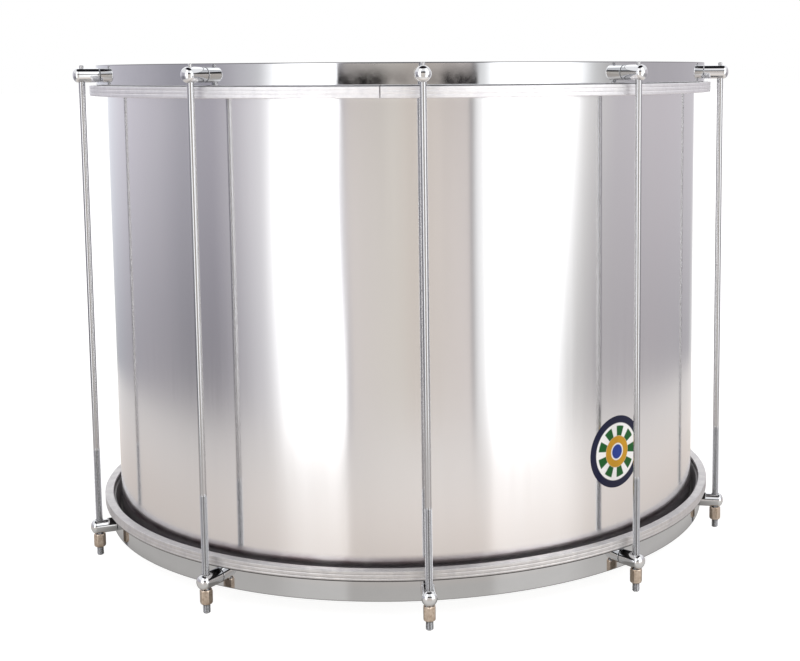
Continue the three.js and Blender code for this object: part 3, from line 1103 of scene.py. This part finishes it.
def directions(world):
    """Degrees round from the camera, and degrees up."""
    place = add_node(world, "TexCoord").outputs["Generated"]
    axes = add_node(world, "SeparateXYZ", links=[place])
    back = add_node(world, "Math", TIMES, [axes.outputs["Y"], -1.0])
    turn = add_node(world, "Math", {"operation": "ARCTAN2"}, [axes.outputs["X"], back])
    degrees = add_node(world, "Math", {"operation": "DEGREES"}, [turn])
    azimuth = add_node(world, "Math", PLUS, [degrees, math.degrees(CAMERA_TURN)])
    rise = add_node(world, "Math", {"operation": "ARCSINE"}, [axes.outputs["Z"]])
    elevation = add_node(world, "Math", {"operation": "DEGREES"}, [rise])
    return azimuth, elevation


def bend_room(world, azimuth, elevation):
    """Degrees round, with the room's left and right parts moved in."""
    low = add_node(world, "MapRange", SMOOTH, [elevation, *LEFT_LOW])
    high = add_node(world, "MapRange", links=[elevation, *LEFT_HIGH])
    left = add_node(world, "MapRange", SMOOTH, [azimuth, *LEFT_PART])
    left = add_node(world, "Math", TIMES, [left, add_node(world, "Math", PLUS, [low, high])])
    right = add_node(world, "MapRange", links=[azimuth, *RIGHT_PART])
    lean = add_node(world, "MapRange", links=[elevation, *RIGHT_LOW])
    right = add_node(world, "Math", TIMES, [right, lean])
    return add_node(world, "Math", PLUS, [azimuth, add_node(world, "Math", PLUS, [left, right])])


def room_walls(world, round_room):
    """The walls' colours all round."""
    share = add_node(world, "MapRange", links=[round_room, -180, 180, 0, 1])
    walls = add_node(world, "ValToRGB", links=[share])
    stops = walls.color_ramp.elements
    while len(stops) < len(WALLS):
        stops.new(0.5)
    for stop, (angle, colour) in zip(stops, WALLS):
        stop.position = (angle + 180) / 360
        stop.color = linear(colour)
    return walls


def room_shade(world, round_room, elevation):
    """How bright the walls are: darker low down, most at the room's sides."""
    left = add_node(world, "MapRange", links=[round_room, *LEFT_SHADE])
    right = add_node(world, "MapRange", links=[round_room, *RIGHT_SHADE])
    aside = add_node(world, "Math", PLUS, [left, right])
    low = add_node(world, "MapRange", SMOOTH, [elevation, *SIDE_SHADE_RISE])
    dark = add_node(world, "Math", TIMES, [aside, low])
    shade = add_node(world, "Math", MINUS, [1.0, dark])
    floor_end = add_node(world, "MapRange", links=[elevation, *LOW_SHADE])
    return add_node(world, "Math", TIMES, [shade, floor_end])


def make_world():
    """White for the camera. For everything else, a grey room with two tall softboxes."""
    world = bpy.data.worlds.new("studio")
    bpy.context.scene.world = world
    world.use_nodes = True
    world.node_tree.nodes.clear()
    azimuth, elevation = directions(world)
    round_room = bend_room(world, azimuth, elevation)

    dark_ceiling = add_node(world, "MapRange", SMOOTH, [elevation, *DARK_CEILING, 0, 1])
    layers = [(within(world, elevation, LIT_CEILING), "#f4f4f6"), (dark_ceiling, "#1c1c20")]
    for across, rise, colour in DARK_SHAPES:
        layers.append((patch(world, round_room, elevation, across, rise), colour))
    room = room_walls(world, round_room)
    for mask, colour in layers:
        room = add_node(world, "Mix", COLOURS, [mask, room, colour])

    aside = add_node(world, "Math", {"operation": "ABSOLUTE"}, [azimuth])
    behind = add_node(world, "MapRange", links=[aside, *BACKDROP_TURN, 0, 1])
    backdrop = add_node(world, "Math", TIMES, [behind, within(world, elevation, BACKDROP_RISE)])
    light = room_shade(world, round_room, elevation)
    light = add_node(world, "Math", TIMES_PLUS, [backdrop, BACKDROP_LIGHT - 1, light])
    for softbox in (LEFT_SOFTBOX, RIGHT_SOFTBOX):
        mask = patch(world, round_room, elevation, softbox, SOFTBOX_RISE)
        room = add_node(world, "Mix", COLOURS, [mask, room, "#ffffff"])
        light = add_node(world, "Math", TIMES_PLUS, [mask, SOFTBOX_LIGHT - 1, light])

    lit = add_node(world, "Background", links={"Color": room, "Strength": light})
    plain = add_node(world, "Background", links={"Color": "#ffffff", "Strength": 1.0})
    is_camera = add_node(world, "LightPath").outputs["Is Camera Ray"]
    both = add_node(world, "MixShader", links=[is_camera, lit, plain])
    add_node(world, "OutputWorld", links={"Surface": both})


# Assembly

make_camera()
# The band's last colour is painted shade on its upward faces
band_chrome = chrome_plate("chromed_strip", "#d6d7d9", "#cfd0d2", "#67656a")
barrel_chrome = chrome_plate("chromed_barrel", "#f0f1f2", "#e2e3e5")
film = milky_film()
satin = satin_aluminium()
make_shell(polished_aluminium())
for drum_end in ("top", "bottom"):
    make_head(drum_end, film)
    make_flesh_hoop(drum_end, satin)
    make_counterhoop(drum_end, band_chrome)
make_hardware({"chrome": barrel_chrome, "zinc": zinc_steel(), "brass": tarnished_brass()})
make_label(printed_vinyl())

make_floor()
make_world()
bpy.context.scene.view_settings.view_transform = "Standard"
